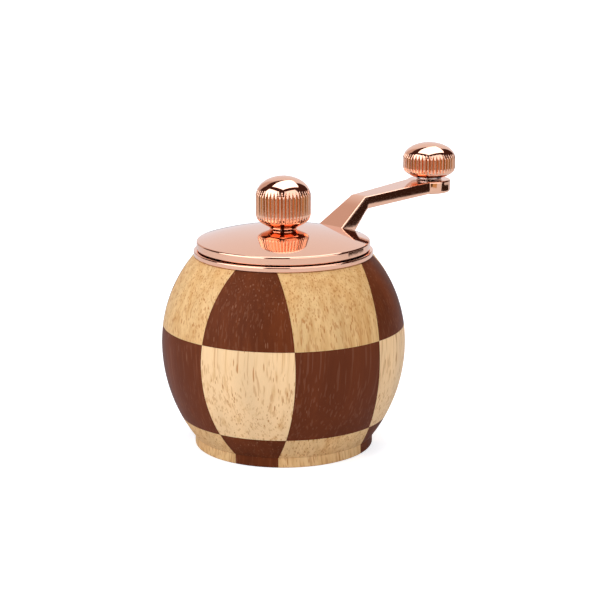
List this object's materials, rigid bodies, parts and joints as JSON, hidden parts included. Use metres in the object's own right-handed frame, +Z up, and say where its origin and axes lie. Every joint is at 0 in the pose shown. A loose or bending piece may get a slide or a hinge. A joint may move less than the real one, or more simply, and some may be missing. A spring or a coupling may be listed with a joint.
{
  "type": "hand-cranked pepper mill",
  "caption": "Ball-shaped pepper mill of glued light and dark wood blocks with a domed rose-gold metal lid, crank arm and ribbed knobs.",
  "frame": {"origin": "middle of the overall box at table height; the mill's own axis stands at x = -0.0175", "axes": "+Z up along the crank's axis, +X from the mill's axis along the crank arm at rest"},
  "size_m": [0.11, 0.075, 0.0874],
  "materials": {
    "light_wood": "satin lacquer, vertical grain with short dark pores",
    "dark_wood": "satin lacquer, reddish brown with fine light flecks",
    "rose_gold": "polished rose-gold plating",
    "steel": "bright turned and drawn steel",
    "ceramic": "unglazed white ceramic",
    "white_plastic": "matt moulded plastic"
  },
  "bodies": {
    "mill_body": {"foot_face_block_1": "light_wood", "foot_face_block_2": "light_wood", "foot_face_block_3": "light_wood", "foot_face_block_4": "light_wood", "foot_corner_block_1": "dark_wood", "foot_corner_block_2": "dark_wood", "foot_corner_block_3": "dark_wood", "foot_corner_block_4": "dark_wood", "middle_face_block_1": "dark_wood", "middle_face_block_2": "dark_wood", "middle_face_block_3": "dark_wood", "middle_face_block_4": "dark_wood", "middle_corner_block_1": "light_wood", "middle_corner_block_2": "light_wood", "middle_corner_block_3": "light_wood", "middle_corner_block_4": "light_wood", "upper_face_block_1": "light_wood", "upper_face_block_2": "light_wood", "upper_face_block_3": "light_wood", "upper_face_block_4": "light_wood", "upper_corner_block_1": "dark_wood", "upper_corner_block_2": "dark_wood", "upper_corner_block_3": "dark_wood", "upper_corner_block_4": "dark_wood", "collar_ring": "rose_gold", "collar_screw_1": "steel", "collar_screw_2": "steel", "collar_screw_3": "steel", "collar_screw_4": "steel", "mill_housing": "white_plastic", "housing_screw_1": "steel", "housing_screw_2": "steel", "housing_screw_3": "steel", "housing_screw_4": "steel", "outer_burr": "ceramic", "burr_retaining_ring": "white_plastic"},
    "bush": {"bearing_bush": "white_plastic"},
    "spindle": {"drive_shaft": "steel", "shaft_clip": "steel", "burr_spring": "steel", "inner_burr": "ceramic", "burr_washer": "steel", "burr_screw": "steel"},
    "lid": {"lid_and_crank": "rose_gold", "crank_knob_pin": "steel", "crank_knob_washer": "steel"},
    "adjuster": {"top_knob": "rose_gold"},
    "crank_grip": {"crank_knob": "rose_gold"}
  },
  "joints": [
    {"name": "crank_turn", "type": "hinge", "parent": "mill_body", "child": "bush", "pos_m": [-0.0175, 0, 0.024], "axis": [0, 0, 1], "continuous": true},
    {"name": "shaft_travel", "type": "slide", "parent": "bush", "child": "spindle", "axis": [0, 0, 1], "range_m": [-0.0008, 0.0008], "deforming": ["burr_spring"]},
    {"name": "lid_lift", "type": "slide", "parent": "bush", "child": "lid", "axis": [0, 0, 1], "range_m": [0, 0.04]},
    {"name": "top_knob_turn", "type": "hinge", "parent": "lid", "child": "adjuster", "pos_m": [-0.0175, 0, 0.075], "axis": [0, 0, 1], "range_deg": [-360, 360]},
    {"name": "crank_knob_spin", "type": "hinge", "parent": "lid", "child": "crank_grip", "pos_m": [0.0465, 0, 0.083], "axis": [0, 0, 1], "continuous": true}
  ],
  "couplings": [
    {"joint": "top_knob_turn", "follows": "shaft_travel", "rad_per_m": -7854}
  ]
}
